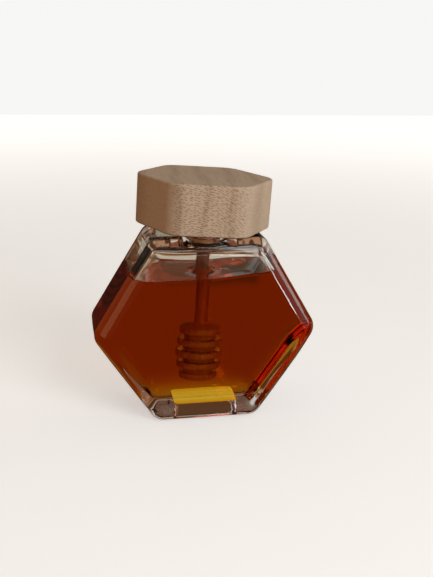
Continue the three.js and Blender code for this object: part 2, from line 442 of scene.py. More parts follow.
def unevenness(u, v, seed):
    """Smooth noise between about -1 and 1: a sum of cosine waves with whole numbers of turns
    along u, which is an angle, and v, which runs from 0 to 1."""
    dice = np.random.default_rng(seed)
    turns = dice.integers(0, FASTEST_WAVE + 1, (WAVES, 2))
    phases = dice.uniform(0, 2 * np.pi, WAVES)
    angle = turns[:, 0] * u[..., None] + np.pi * turns[:, 1] * v[..., None] + phases
    return np.cos(angle).sum(-1) / math.sqrt(WAVES)


print("unevenness at one place", unevenness(np.zeros(1), np.zeros(1), 1).round(3))


# %% [markdown]
# ## The glass body
# Moulded glass has no sharp edge anywhere. The outside is what a ball covers as it rolls round a
# flat six-sided plate, and the hollow is what a smaller ball covers. So a level cut through the
# body is known exactly: its half width is the least, over all outward directions, of the
# distance at which a line square to that direction just touches the rolled plate.

# %% Glass sizes
jar_low, jar_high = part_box("glass_jar")
HALF_WIDTH = 50 * MM
BODY_HEIGHT = 85.7 * MM
EDGE_RADIUS = 6.9 * MM
WALL = 3.4 * MM
FLOOR_HEIGHT = 11 * MM
ROOF_THICKNESS = 5.4 * MM
FOOT_HALF_WIDTH = 19.5 * MM
HOLLOW_FOOT_HALF_WIDTH = 22 * MM
SHOULDER_HALF_WIDTH = 20.7 * MM
HALF_DEPTH = (jar_high.y - jar_low.y) / 2
PLATE_HALF_DEPTH = HALF_DEPTH - EDGE_RADIUS
HOLLOW_RADIUS = EDGE_RADIUS - WALL
COLLAR_TOP = jar_high.z
print("half depth", round(HALF_DEPTH * 1000, 2), "mm, top", round(COLLAR_TOP * 1000, 2), "mm")

# %% Loop pattern
SIDE_POINTS = 64
CORNER_POINTS = 14
FRONT_POINTS = 56
QUARTER = np.pi / 2


def loop_pattern():
    """Three numbers for each point of a level loop: its share of the width, its share of the
    depth, both from -1 to 1, and how far it has turned round a corner of the loop."""
    side, corner, front = (np.ones(n) for n in (SIDE_POINTS, CORNER_POINTS, FRONT_POINTS))

    def run(start, end, count):
        return np.linspace(start, end, count, endpoint=False)

    across = [side, corner, run(1, -1, FRONT_POINTS), -corner,
              -side, -corner, run(-1, 1, FRONT_POINTS), corner]
    along = [run(-1, 1, SIDE_POINTS), corner, front, corner,
             run(1, -1, SIDE_POINTS), -corner, -front, -corner]
    quarter_up = run(0, QUARTER, CORNER_POINTS)
    quarter_down = run(QUARTER, 0, CORNER_POINTS)
    turn = [side * 0, quarter_up, front * QUARTER, quarter_down] * 2
    return (np.concatenate(part) for part in (across, along, turn))


ACROSS, ALONG, TURN = loop_pattern()
print("points in a loop", len(ACROSS))


# %% Rolled plate
def plate_corners(foot_half_width, foot_height, shoulder_height):
    """Foot, waist and shoulder corners (x, z) of the plate's right half."""
    return np.array([[foot_half_width, foot_height], [HALF_WIDTH - EDGE_RADIUS, WAIST_HEIGHT],
                     [SHOULDER_HALF_WIDTH, shoulder_height]])


def directions(corners, start, end):
    """Outward directions between two angles in degrees, with the plate's own edges among them,
    and how far the plate reaches in each."""
    edge = np.diff(corners, axis=0)
    square_to_edges = np.degrees(np.arctan2(-edge[:, 0], edge[:, 1]))
    own = square_to_edges[(square_to_edges > start) & (square_to_edges < end)]
    angle = np.radians(np.concatenate([np.linspace(start, end, 181), own]))
    reach = (corners @ np.array([np.cos(angle), np.sin(angle)])).max(axis=0)
    return angle, reach


def half_width(corners, height, radius):
    """Half width of the rolled plate at a height: the least over all directions a of
    (reach(a) + radius - height * sin a) / cos a."""
    angle, reach = directions(corners, -80, 80)
    rise = height[..., None] * np.sin(angle)
    return ((reach + radius[..., None] - rise) / np.cos(angle)).min(axis=-1)


def cap_height(corners, radius, x, y, up=True):
    """Height of the rolled plate's upper or lower skin at (x, y). Beyond the plate's depth the
    ball is cut smaller: its radius there is sqrt(radius^2 - overhang^2)."""
    overhang = np.maximum(np.abs(y) - PLATE_HALF_DEPTH, 0)
    left = np.sqrt(np.maximum(radius ** 2 - overhang ** 2, 0))
    angle, reach = directions(corners, 1, 90) if up else directions(corners, -90, -1)
    level = (reach + left[..., None] - np.abs(x)[..., None] * np.cos(angle)) / np.sin(angle)
    return level.min(axis=-1) if up else level.max(axis=-1)


# %% Level loops
def level_loops(corners, radius, height):
    """Loops at heights (rows x points) between the plate's foot and shoulder."""
    x = ACROSS * half_width(corners, height, radius * np.cos(TURN) + 0 * height)
    y = ALONG * PLATE_HALF_DEPTH + np.sign(ALONG) * radius * np.sin(TURN) + 0 * height
    return np.stack([x, y, height], -1)


def flat_loop(corners, radius, height):
    """The flat loop (points x 2) of a level cut at one height."""
    return level_loops(corners, radius, np.full((1, len(TURN)), height))[0, :, :2]


def rounded_rectangle(half_x, half_y, corner):
    """One flat loop (points x 2) with the loop pattern's spacing."""
    x = ACROSS * (half_x - corner) + np.sign(ACROSS) * corner * np.cos(TURN)
    y = ALONG * (half_y - corner) + np.sign(ALONG) * corner * np.sin(TURN)
    return np.stack([x, y], -1)


def between(start, end, shares):
    """Flat loops between two flat loops, one for each share from 0 to 1."""
    return start + (end - start) * np.asarray(shares)[:, None, None]


def with_height(flat, height):
    """Loops in space from flat loops and their heights."""
    return np.concatenate([flat, (height + 0 * flat[..., 0])[..., None]], -1)


OUTSIDE = plate_corners(FOOT_HALF_WIDTH, EDGE_RADIUS, BODY_HEIGHT - EDGE_RADIUS)
print("corners of the plate, mm", (OUTSIDE / MM).round(2).tolist())


# %% [markdown]
# The front and back aren't flat right up to the edge ball. Above the waist they curve back more
# and more towards the two sloping sides, so the edge shows no line there. Sculpting could do
# that, but not twice alike. So one formula draws in the glass and the honey, and the wall keeps
# its thickness.

# %% Plump sides
PLUMP_REACH, PLUMP_DROP = 14 * MM, 3.2 * MM
PLUMP_START, PLUMP_FULL = 11 * MM, 19 * MM
SIDE_ANGLES = (18, 27.5)


def plump(loops):
    """The same loops, drawn in towards the middle plane by PLUMP_DROP * (1 - s / PLUMP_REACH)^2
    at a distance s from the body's upper side, with a smooth start between two depths."""
    x, y, z = np.moveaxis(loops, -1, 0)
    angle, reach = directions(OUTSIDE, *SIDE_ANGLES)
    along = np.abs(x)[..., None] * np.cos(angle) + z[..., None] * np.sin(angle)
    from_side = (reach + EDGE_RADIUS - along).min(axis=-1)
    share = np.clip((np.abs(y) - PLUMP_START) / (PLUMP_FULL - PLUMP_START), 0, 1)
    drawn = PLUMP_DROP * np.clip(1 - from_side / PLUMP_REACH, 0, 1) ** 2
    drawn = drawn * share ** 2 * (3 - 2 * share)
    return np.stack([x, y - np.sign(y) * drawn, z], -1)


print("drawn in by up to", PLUMP_DROP / MM, "mm")


# %% [markdown]
# The foot stands on a narrow rim. A deep panel is pressed up in its middle, and its steep side
# is slightly wavy. Short ribs across both ends of the rim keep the hot glass off the belt when
# the jar is made. A bump could paint them, but they show through the clear base as fine lines
# and bend the light, so they are cut into the surface itself.

# %% Push-up and ribs
PUSH_UP_WIDTH, PUSH_UP_DEPTH, PUSH_UP_HEIGHT = 29 * MM, 25.4 * MM, 7.5 * MM
PUSH_UP_CORNER, PUSH_UP_SLOPE = 3 * MM, 0.8 * MM
RIB_PITCH, RIB_DEPTH, RIB_SHARPNESS = 3.4 * MM, 0.4 * MM, 1.5
RIB_GAP, RIB_GAP_FADE = 0.3 * MM, 0.5 * MM
RIB_REACH, RIB_END_FADE = 2.2 * MM, 0.8 * MM
RIB_SIDE, RIB_SIDE_FADE = 0.5 * MM, 1.5 * MM
SLOPE_RIPPLE, SLOPE_RIPPLES = 0.05, 5
PANEL_LOOPS, SLOPE_LOOPS, STAND_LOOPS, HEEL_LOOPS = 9, 49, 12, 19


def rib_relief(x, y):
    """Height of the grooves between the ribs: a cosine along y, faded in over the rim's ends."""
    wave = (0.5 - 0.5 * np.cos(2 * np.pi * y / RIB_PITCH)) ** RIB_SHARPNESS
    start = PUSH_UP_WIDTH / 2 + PUSH_UP_SLOPE + RIB_GAP
    along_rim = np.clip((np.abs(x) - start) / RIB_GAP_FADE, 0, 1)
    fade = np.clip((FOOT_HALF_WIDTH + RIB_REACH - np.abs(x)) / RIB_END_FADE, 0, 1)
    side = np.clip((PLATE_HALF_DEPTH + RIB_SIDE - np.abs(y)) / RIB_SIDE_FADE, 0, 1)
    return RIB_DEPTH * wave * along_rim * fade * side


# %% Foot
def foot_loops():
    """Loops from the middle of the push-up outwards to the heel, where the sides begin."""
    push_x, push_y = PUSH_UP_WIDTH / 2, PUSH_UP_DEPTH / 2
    panel = rounded_rectangle(push_x, push_y, PUSH_UP_CORNER)
    rim = rounded_rectangle(push_x + PUSH_UP_SLOPE, push_y + PUSH_UP_SLOPE, PUSH_UP_CORNER)
    stand = rounded_rectangle(FOOT_HALF_WIDTH, PLATE_HALF_DEPTH, PUSH_UP_CORNER)
    heel = flat_loop(OUTSIDE, EDGE_RADIUS, EDGE_RADIUS)
    inner = between(0 * panel, panel, np.linspace(0.08, 0.97, PANEL_LOOPS))
    inner = with_height(inner, PUSH_UP_HEIGHT)
    step = np.linspace(0, 1, SLOPE_LOOPS)
    ripple = SLOPE_RIPPLE * np.sin(2 * np.pi * SLOPE_RIPPLES * step) * np.sin(np.pi * step)
    slope = with_height(between(panel, rim, step + ripple),
                        (PUSH_UP_HEIGHT * (0.5 + 0.5 * np.cos(np.pi * step)))[:, None])
    flat = between(rim, stand, np.linspace(0.1, 1, STAND_LOOPS))
    flat = with_height(flat, rib_relief(flat[..., 0], flat[..., 1]))
    curve = between(stand, heel, 1 - (1 - np.linspace(0.05, 1, HEEL_LOOPS)[:-1]) ** 2)
    low = cap_height(OUTSIDE, EDGE_RADIUS, curve[..., 0], curve[..., 1], up=False)
    curve = with_height(curve, low + rib_relief(curve[..., 0], curve[..., 1]))
    return np.concatenate([inner, slope, flat, curve])


print("loops in the foot", len(foot_loops()))


# %% [markdown]
# The neck is a low round collar over the shoulder. Close to the axis the skin is the higher of
# the shoulder and the collar's fillet, blended over a few tenths of a millimetre, where a
# Boolean union would leave a sharp crease. A rounded lip leads over into the bore, and the bore
# opens with a larger round into the roof of the hollow.

# %% Shoulder, collar and bore
MOUTH_RADIUS, COLLAR_RADIUS = 11.3 * MM, 15.2 * MM
COLLAR_FILLET, LIP_RADIUS, BORE_ROUNDING = 2.2 * MM, 0.7 * MM, 2.2 * MM
BLEND = 0.35 * MM
SHOULDER_LOOPS, FILLET_LOOPS, LIP_LOOPS, BORE_LOOPS, CEILING_LOOPS = 26, 10, 6, 9, 13
ROOF = BODY_HEIGHT - ROOF_THICKNESS
HOLLOW = plate_corners(HOLLOW_FOOT_HALF_WIDTH, FLOOR_HEIGHT + HOLLOW_RADIUS, ROOF - HOLLOW_RADIUS)


SHOULDER = flat_loop(OUTSIDE, EDGE_RADIUS, OUTSIDE[2, 1])
BEARING = np.arctan2(*SHOULDER.T[::-1])


def rings(radii, heights):
    """Round loops about the jar's axis from radii and heights."""
    ring = np.stack([np.cos(BEARING), np.sin(BEARING)], -1)
    return with_height(ring * np.asarray(radii)[:, None, None], np.asarray(heights)[:, None])


def arc(centre, radius, start, end, count):
    """Radii and heights along an arc between two angles in degrees, without its first point."""
    angle = np.radians(np.linspace(start, end, count + 1)[1:])
    return centre[0] + radius * np.cos(angle), centre[1] + radius * np.sin(angle)


def higher(first, second):
    """The higher of two heights, rounded off over BLEND where they cross."""
    gap = np.sqrt((first - second) ** 2 + BLEND ** 2)
    return (first + second + gap) / 2 - BLEND / 2


# %% Neck
def neck_loops():
    """Loops from the shoulder over the collar and lip, down the bore and out along the roof."""
    root = COLLAR_RADIUS + COLLAR_FILLET
    lip_height = COLLAR_TOP - LIP_RADIUS
    circle = rings([root], [0])[0, :, :2]
    over = between(SHOULDER, circle, np.linspace(0, 1, SHOULDER_LOOPS + 1)[1:] ** 2)
    over = with_height(over, cap_height(OUTSIDE, EDGE_RADIUS, over[..., 0], over[..., 1]))
    radii, fillet = arc((root, lip_height), COLLAR_FILLET, 270, 180, FILLET_LOOPS)
    rise = rings(radii, fillet)
    shoulder = cap_height(OUTSIDE, EDGE_RADIUS, rise[..., 0], rise[..., 1])
    rise[..., 2] = np.minimum(higher(shoulder, rise[..., 2]), lip_height)
    lip_out = arc((COLLAR_RADIUS - LIP_RADIUS, lip_height), LIP_RADIUS, 0, 90, LIP_LOOPS)
    lip_in = arc((MOUTH_RADIUS + LIP_RADIUS, lip_height), LIP_RADIUS, 90, 180, LIP_LOOPS)
    rounding = (MOUTH_RADIUS + BORE_ROUNDING, ROOF + BORE_ROUNDING)
    bore = rings(*arc(rounding, BORE_ROUNDING, 180, 270, BORE_LOOPS))
    ceiling = between(bore[-1, :, :2], flat_loop(HOLLOW, HOLLOW_RADIUS, HOLLOW[2, 1]),
                      1 - (1 - np.linspace(0, 1, CEILING_LOOPS + 2)[1:-1]) ** 2)
    height = cap_height(HOLLOW, HOLLOW_RADIUS, ceiling[..., 0], ceiling[..., 1])
    return np.concatenate([over, rise, rings(*lip_out), rings(*lip_in), bore,
                           with_height(ceiling, height)])


print("loops in the neck", len(neck_loops()))


# %% [markdown]
# The hollow follows the outside at the wall's thickness and has a thick floor under it. A
# Solidify modifier would give the floor the same thickness as the walls, so the hollow is a
# rolled plate of its own. Glass of this kind is never quite even: the wall waves by a few
# hundredths of a millimetre, which is enough to bend the reflections a little.

# %% Even spacing
def spread(low, high, middle, count):
    """Heights from low to high, closer together near the middle."""
    share = np.linspace(-1, 1, count)
    bent = 0.6 * share + 0.4 * share ** 3
    return np.where(bent < 0, middle + (middle - low) * bent, middle + (high - middle) * bent)


# %% Where the honey ends on the glass
HONEY_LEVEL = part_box("honey")[1].z
INTO_GLASS = 0.15 * MM
WALL_RISE, WALL_REACH = 0.9 * MM, 0.9 * MM
LEVEL_DRIFT, DRIFT_X, DRIFT_REACH = 1.4 * MM, 12 * MM, 12 * MM
WET_LOOPS = 60


def honey_surface(x):
    """The honey's level at x: a gentle rise to the right with most of it near DRIFT_X."""
    return HONEY_LEVEL + LEVEL_DRIFT * np.tanh((x - DRIFT_X) / DRIFT_REACH)


def contact_line():
    """Height at each loop point where the honey's surface ends on the wall."""
    return honey_surface(flat_loop(HOLLOW, HOLLOW_RADIUS, HONEY_LEVEL)[:, 0]) + WALL_RISE


def wet_heights(count):
    """Heights (rows x points) from the foot of the hollow's walls up to the contact line."""
    foot = HOLLOW[0, 1]
    share = (spread(foot, HONEY_LEVEL, WAIST_HEIGHT, count) - foot) / (HONEY_LEVEL - foot)
    return foot + share[:, None] * (contact_line() - foot)


line_mm = contact_line() / MM
print("contact line from", line_mm.min().round(2), "to", line_mm.max().round(2), "mm")

# %% Hollow and whole body
WAVE, OUTER_SEED, INNER_SEED = 0.06 * MM, 3, 4
OUTER_LOOPS = 74
FLOOR_SHARES = np.linspace(0, 0.985, 18)[1:] ** 1.5
DRY_LOOPS = 14
CONTACT_WIDTH = 0.02 * MM


def floor_loops(corners, radius, shares):
    """Loops of the hollow's floor, from the foot of its walls in to the middle."""
    rim = flat_loop(corners, radius, corners[0, 1])
    flat = between(rim, 0 * rim, shares)
    return with_height(flat, cap_height(corners, radius, flat[..., 0], flat[..., 1], up=False))


def waved(loops, seed):
    """The same loops with their sideways places waved in and out by up to about WAVE."""
    turn = np.linspace(0, 2 * np.pi, loops.shape[1], endpoint=False)[None, :] + 0 * loops[..., 0]
    wave = unevenness(turn, loops[..., 2] / BODY_HEIGHT, seed)
    outward = loops[..., :2] / np.linalg.norm(loops[..., :2], axis=-1, keepdims=True)
    moved = loops.copy()
    moved[..., :2] += outward * (WAVE * wave)[..., None]
    return moved


def glass_body():
    """The whole jar as one closed skin, from under the foot to the middle of the inner floor."""
    height = spread(OUTSIDE[0, 1], OUTSIDE[2, 1], WAIST_HEIGHT, OUTER_LOOPS)[:, None] + 0 * TURN
    outside = waved(level_loops(OUTSIDE, EDGE_RADIUS, height), OUTER_SEED)
    dry = contact_line() + np.linspace(0, 1, DRY_LOOPS)[:, None] * (HOLLOW[2, 1] - contact_line())
    dry[0] += CONTACT_WIDTH
    heights = np.concatenate([wet_heights(WET_LOOPS), dry])
    inside = waved(level_loops(HOLLOW, HOLLOW_RADIUS, heights), INNER_SEED)[::-1]
    floor_in = floor_loops(HOLLOW, HOLLOW_RADIUS, FLOOR_SHARES)
    loops = plump(np.concatenate([foot_loops(), outside, neck_loops(), inside, floor_in]))
    piece = skin("glass_body", loops, (0, 0, PUSH_UP_HEIGHT), (0, 0, FLOOR_HEIGHT))
    touching = np.zeros(len(loops))
    touching[-(WET_LOOPS + len(floor_in)):] = 1
    mark_loops(piece, loops.shape[1], touching, 0, 1)
    return piece


glass = glass_body()
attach(glass, "root")
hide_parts("glass_jar")

# %% [markdown]
# ## The closure's lean
# Lid, cork and dipper are one thing, pushed into the mouth by hand. It leans to the right by
# nearly three degrees. The objects could be turned, but a finished piece has to lie at the
# origin unturned. So all three are made upright, with the lid's underside at height nought, and
# their points are then hung in the mouth together.

# %% Hanging
LEAN = math.radians(2.9)
CLOSURE_X, CLOSURE_HEIGHT = -0.2 * MM, 87.65 * MM


def hung(points):
    """Points of the upright closure turned about Y by LEAN and lifted to the jar's mouth."""
    x, y, z = np.moveaxis(np.asarray(points, float), -1, 0)
    turned_x = x * math.cos(LEAN) + z * math.sin(LEAN)
    turned_z = z * math.cos(LEAN) - x * math.sin(LEAN)
    return np.stack([turned_x + CLOSURE_X, y, turned_z + CLOSURE_HEIGHT], -1)


print("closure hangs at mm", (hung((0, 0, 0)) / MM).round(2))


# %% [markdown]
# ## The dipper
# A honey dipper is turned from one stick: a thin handle and a barrel of discs with grooves
# between them. A Screw modifier could turn a profile too, but the honey needs the same surface
# from the inside, so both carry one profile of straight runs and eased corners round the axis.
# Turned edges are never perfectly round, so the rim of each disc varies a little.

# %% Dipper sizes
DIPPER_X = 0.8 * MM
DIPPER_FOOT = 70.6 * MM
HANDLE_RADIUS = 3 * MM
DISC_RADII = [8.7 * MM, 10.2 * MM, 11 * MM, 10.4 * MM, 9.6 * MM]
DISC_THICKNESS = 3 * MM
DISC_PITCH = 5.45 * MM
DISC_EASE = 0.75 * MM
GROOVE_RADIUS = 7.2 * MM
FOOT_RADIUS = 0.6 * MM
HEAD_RISE = 1.6 * MM
DIPPER_POINTS, HANDLE_LOOPS = 96, 60
DIPPER_WAVER, DIPPER_SEED = 0.004, 7
STOPPER_LENGTH, STOPPER_GAP = 8 * MM, 0.3 * MM
DIPPER_TOP = DIPPER_FOOT - STOPPER_LENGTH - STOPPER_GAP
print("dipper shows", round(DIPPER_TOP / MM, 1), "mm of its length")


# %% Dipper profile
def disc_profile(radius, low, inner_below, inner_above, rise):
    """Radii and heights of one disc, from the groove under it to the groove over it. Its upper
    face climbs inwards by rise."""
    high = low + DISC_THICKNESS
    rim = radius - DISC_EASE
    lower = arc((rim, low + DISC_EASE), DISC_EASE, -90, 0, 5)
    upper = arc((rim, high - DISC_EASE), DISC_EASE, 0, 90, 5)
    flat = np.linspace(0, 1, 4)
    radii = [inner_below + (rim - inner_below) * flat, lower[0], [radius], upper[0],
             rim + (inner_above - rim) * flat[1:]]
    heights = [low + 0 * flat, lower[1], [high - DISC_EASE], upper[1], high + rise * flat[1:]]
    return np.concatenate(radii), np.concatenate(heights)


def dipper_profile():
    """Radii and heights of the dipper from its foot up to the top of the last disc."""
    radii, heights = [], []
    last = len(DISC_RADII) - 1
    for i, radius in enumerate(DISC_RADII):
        below = GROOVE_RADIUS if i else FOOT_RADIUS
        above, rise = (GROOVE_RADIUS, 0.0) if i < last else (HANDLE_RADIUS, HEAD_RISE)
        disc = disc_profile(radius, i * DISC_PITCH, below, above, rise)
        radii.append(disc[0])
        heights.append(disc[1])
    return np.concatenate(radii), np.concatenate(heights)


# %% Turning
def turned(radii, heights, points, seed, rough, shift=0.0):
    """Round loops about the upright axis. Each point's radius is waved by up to rough."""
    angle = np.linspace(0, 2 * np.pi, points, endpoint=False)
    heights = np.asarray(heights)[:, None] + 0 * angle
    length = max(np.ptp(heights), 1e-6)
    wave = 1 + rough * unevenness(angle + 0 * heights, (heights - heights.min()) / length, seed)
    radii = np.asarray(radii)[:, None] * wave
    return np.stack([radii * np.cos(angle) + shift, radii * np.sin(angle), heights], -1)


def with_handle(top, count):
    """The dipper's profile with its straight handle up to a height."""
    radii, heights = dipper_profile()
    handle = np.linspace(heights[-1], top, count)[1:]
    radii = np.concatenate([radii, np.full(len(handle), HANDLE_RADIUS)])
    return radii, np.concatenate([heights, handle])


# %% Dipper
def dipper_loops():
    """The dipper hung in the jar, from its foot up to the cork."""
    radii, heights = with_handle(DIPPER_TOP, HANDLE_LOOPS)
    loops = turned(radii, heights, DIPPER_POINTS, DIPPER_SEED, DIPPER_WAVER, DIPPER_X)
    loops[..., 2] -= DIPPER_FOOT
    return hung(loops)


def axis_point(height):
    """The point on the dipper's axis at a height above its foot, hung in the jar."""
    return hung((DIPPER_X, 0, height - DIPPER_FOOT))


dipper = skin("turned_dipper", dipper_loops(), axis_point(0), axis_point(DIPPER_TOP))
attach(dipper, "root")
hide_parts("dipper")

# %% [markdown]
# ## The honey
# Honey fills the hollow up to its level. It is thick and wets everything: it creeps up the
# glass, climbs the handle in a small cone, and levels so slowly that it still lies a little
# higher on the right. A copy of the hollow cut by Boolean would leave a film of air or two skins
# in one place. So the honey has a skin of its own, which reaches a little way into the glass
# and the wood.

# %% Honey
INTO_WOOD = 0.15 * MM
HANDLE_RISE, HANDLE_REACH = 2.4 * MM, 1.5 * MM
SURFACE_LOOPS, SUNK_HANDLE_LOOPS = 44, 22


def honey_piece():
    """The closed honey skin: out over the floor, up the walls, in over the surface and down
    round the dipper. The surface's height is the level plus two rises that fade with
    exp(-distance / reach), one from the wall and one from the dipper's handle."""
    radius = HOLLOW_RADIUS + INTO_GLASS
    floor_out = floor_loops(HOLLOW, radius, FLOOR_SHARES)[::-1]
    walls = level_loops(HOLLOW, radius, wet_heights(WET_LOOPS))
    edge = walls[-1, :, :2]
    ring_height = HONEY_LEVEL + HANDLE_RISE
    climb = (ring_height - axis_point(0)[2]) / math.cos(LEAN)
    centre = axis_point(climb)
    bearing = np.arctan2(edge[:, 1], edge[:, 0])
    way = np.stack([np.cos(bearing), np.sin(bearing)], -1)
    ring = way * (HANDLE_RADIUS - INTO_WOOD) + centre[:2]
    span = np.linspace(0, 1, SURFACE_LOOPS + 2)[1:-1]
    shares = 0.5 - 0.5 * np.cos(np.pi * span)
    flat = between(edge, ring, shares)
    from_wall = np.linalg.norm(flat - edge, axis=-1)
    from_handle = np.linalg.norm(flat - centre[:2], axis=-1) - HANDLE_RADIUS
    height = (honey_surface(flat[..., 0]) + WALL_RISE * np.exp(-from_wall / WALL_REACH)
              + HANDLE_RISE * np.exp(-np.maximum(from_handle, 0) / HANDLE_REACH))
    surface = with_height(flat, height)
    radii, heights = with_handle(climb, SUNK_HANDLE_LOOPS)
    radii = (radii - INTO_WOOD)[:, None]
    sunk = np.stack([radii * np.cos(bearing) + DIPPER_X, radii * np.sin(bearing),
                     heights[:, None] + 0 * bearing - DIPPER_FOOT], -1)
    inside = hung(sunk)[::-1]
    loops = plump(np.concatenate([floor_out, walls, surface, inside]))
    low = (0, 0, FLOOR_HEIGHT - INTO_GLASS)
    piece = skin("honey_fill", loops, low, axis_point(INTO_WOOD))
    touching = np.zeros(len(loops))
    touching[:len(floor_out) + len(walls) - 1] = 1
    mark_loops(piece, loops.shape[1], touching, 1, 0)
    return piece


honey = honey_piece()
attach(honey, "root")
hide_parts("honey")

# %% [markdown]
# ## The cork
# The cork is a short tapered plug with an eased foot, rough and pitted all over. A bevelled
# cone would do for the form. The turned profile is used again, because it can waver as it goes
# round, as cork does.

# %% Cork
STOPPER_TOP_RADIUS, STOPPER_FOOT_RADIUS, STOPPER_EASE = 10.7 * MM, 10.3 * MM, 0.8 * MM
CORK_POINTS, CORK_WAVER, CORK_SEED = 160, 0.009, 11


def cork_piece():
    """A profile from the middle of the cork's foot round its eased edge up to its flat top."""
    foot = -STOPPER_LENGTH
    rim = STOPPER_FOOT_RADIUS - STOPPER_EASE
    under = np.linspace(0.05, 1, 10) * rim
    edge = arc((rim, foot + STOPPER_EASE), STOPPER_EASE, -90, 0, 7)
    side = np.linspace(0, 1, 40)[1:]
    top = np.linspace(1, 0.05, 10)[1:] * STOPPER_TOP_RADIUS
    side_radii = STOPPER_FOOT_RADIUS + (STOPPER_TOP_RADIUS - STOPPER_FOOT_RADIUS) * side
    side_heights = edge[1][-1] + (-STOPPER_GAP - edge[1][-1]) * side
    radii = np.concatenate([under, edge[0], side_radii, top])
    heights = np.concatenate([foot + 0 * under, edge[1], side_heights, -STOPPER_GAP + 0 * top])
    loops = hung(turned(radii, heights, CORK_POINTS, CORK_SEED, CORK_WAVER))
    return skin("cork_plug", loops, hung((0, 0, foot)), hung((0, 0, -STOPPER_GAP)))


cork = cork_piece()
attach(cork, "root")
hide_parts("stopper")

# %% [markdown]
# ## The lid
# The lid is a block sawn to a regular hexagon. Its corners are well rounded and its edges are
# sanded off. One Bevel modifier would round corners and edges alike. So the outline is made of
# six arcs joined by straight runs, and a small quarter round leads over to top and bottom.

# %% Hexagon
LID_CIRCUMRADIUS, LID_CORNER_RADIUS = 31.4 * MM, 9.9 * MM
LID_THICKNESS, LID_EASE = 22 * MM, 0.9 * MM
LID_TURN = math.radians(-4)
LID_ARC_POINTS, LID_SIDE_POINTS = 14, 22


def hexagon():
    """For each point of the lid's outline, its place on the small inner hexagon and its outward
    direction. The outline is the place plus the direction times the corner radius."""
    reach = LID_CIRCUMRADIUS - LID_CORNER_RADIUS / math.cos(math.radians(30))
    places, ways = [], []
    for k in range(6):
        start, end = math.radians(60 * k), math.radians(60 * k + 60)
        corner = reach * np.array([math.cos(start), math.sin(start)])
        following = reach * np.array([math.cos(end), math.sin(end)])
        sweep = start + np.radians(np.linspace(-30, 30, LID_ARC_POINTS))
        share = np.linspace(0, 1, LID_SIDE_POINTS + 2)[1:-1, None]
        places += [np.repeat(corner[None], LID_ARC_POINTS, 0),
                   corner + (following - corner) * share]
        middle = (start + end) / 2
        ways += [np.stack([np.cos(sweep), np.sin(sweep)], -1),
                 np.repeat([[math.cos(middle), math.sin(middle)]], LID_SIDE_POINTS, 0)]
    return np.concatenate(places), np.concatenate(ways)


print("points round the lid", len(hexagon()[0]))


# %% Lid
def lid_piece():
    """Loops from the middle of the underside over the eased edges to the middle of the top."""
    places, ways = hexagon()

    def outline(inset):
        return places + ways * (LID_CORNER_RADIUS - inset)

    face = np.linspace(0.04, 1, 14)
    low = with_height(between(0 * places, outline(LID_EASE), face), 0.0)
    edge = np.radians(np.linspace(0, 90, 8)[1:])
    insets, rise = LID_EASE * (1 - np.sin(edge)), LID_EASE * (1 - np.cos(edge))
    ease_low = with_height(np.stack([outline(inset) for inset in insets]), rise[:, None])
    sides = np.linspace(LID_EASE, LID_THICKNESS - LID_EASE, 20)[1:]
    side = with_height(np.stack([outline(0)] * len(sides)), sides[:, None])
    ease_high = ease_low[::-1][1:].copy()
    ease_high[..., 2] = LID_THICKNESS - ease_high[..., 2]
    high = with_height(between(0 * places, outline(LID_EASE), face[::-1]), LID_THICKNESS)
    loops = np.concatenate([low, ease_low, side, ease_high, high])
    x, y = loops[..., 0].copy(), loops[..., 1].copy()
    loops[..., 0] = x * math.cos(LID_TURN) - y * math.sin(LID_TURN)
    loops[..., 1] = x * math.sin(LID_TURN) + y * math.cos(LID_TURN)
    return skin("lid_block", hung(loops), hung((0, 0, 0)), hung((0, 0, LID_THICKNESS)))


lid = lid_piece()
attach(lid, "root")
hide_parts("lid")

# %% [markdown]
# ## Finishes
# Every finish reads Object coordinates, which are metres from the middle of the foot. They are
# turned upright with the closure and counted in millimetres first, so that grain sizes are
# written as they would be measured.


# %% Millimetre coordinates
def millimetres(tree, lean=0.0, turn=0.0, centre=(0, 0, 0)):
    """Object coordinates in millimetres from a centre, turned back upright."""
    where = add(tree, "ShaderNodeTexCoord").outputs["Object"]
    where = vector_node(tree, "SUBTRACT", where, centre)
    for axis, angle in (("Y_AXIS", -lean), ("Z_AXIS", -turn)):
        where = add(tree, "ShaderNodeVectorRotate", {"Vector": where, "Angle": angle},
                    rotation_type=axis).outputs[0]
    return add(tree, "ShaderNodeVectorMath", {0: where, "Scale": 1 / MM},
               operation="SCALE").outputs[0]


def stretched(tree, vector, x, y, z):
    """The vector with each axis divided by a length in millimetres."""
    return vector_node(tree, "MULTIPLY", vector, (1 / x, 1 / y, 1 / z))


def new_group(name, inputs, outputs):
    """A node group whose millimetres come in as a vector and all other values as numbers."""
    group = bpy.data.node_groups.new(name, "ShaderNodeTree")
    sockets = [("Millimetres", "INPUT", "NodeSocketVector")]
    sockets += [(key, "INPUT", "NodeSocketFloat") for key in inputs]
    sockets += [(key, "OUTPUT", "NodeSocketFloat") for key in outputs]
    for key, side, kind in sockets:
        group.interface.new_socket(key, in_out=side, socket_type=kind)
    print("group", name, "puts out", outputs)
    return group, add(group, "NodeGroupInput").outputs


# %% [markdown]
# Glass that was pressed in a mould has faint ripples and a few specks, which only show where it
# mirrors something bright. Cut into the mesh they would need millions of faces, so they go into
# the normal and the roughness. The honey has the same kind of slow ripple, so the ripple is a
# node group that both use.

# %% Ripple group
SPECK_EDGE, SPECK_HEIGHT = (0.66, 0.75), 0.02


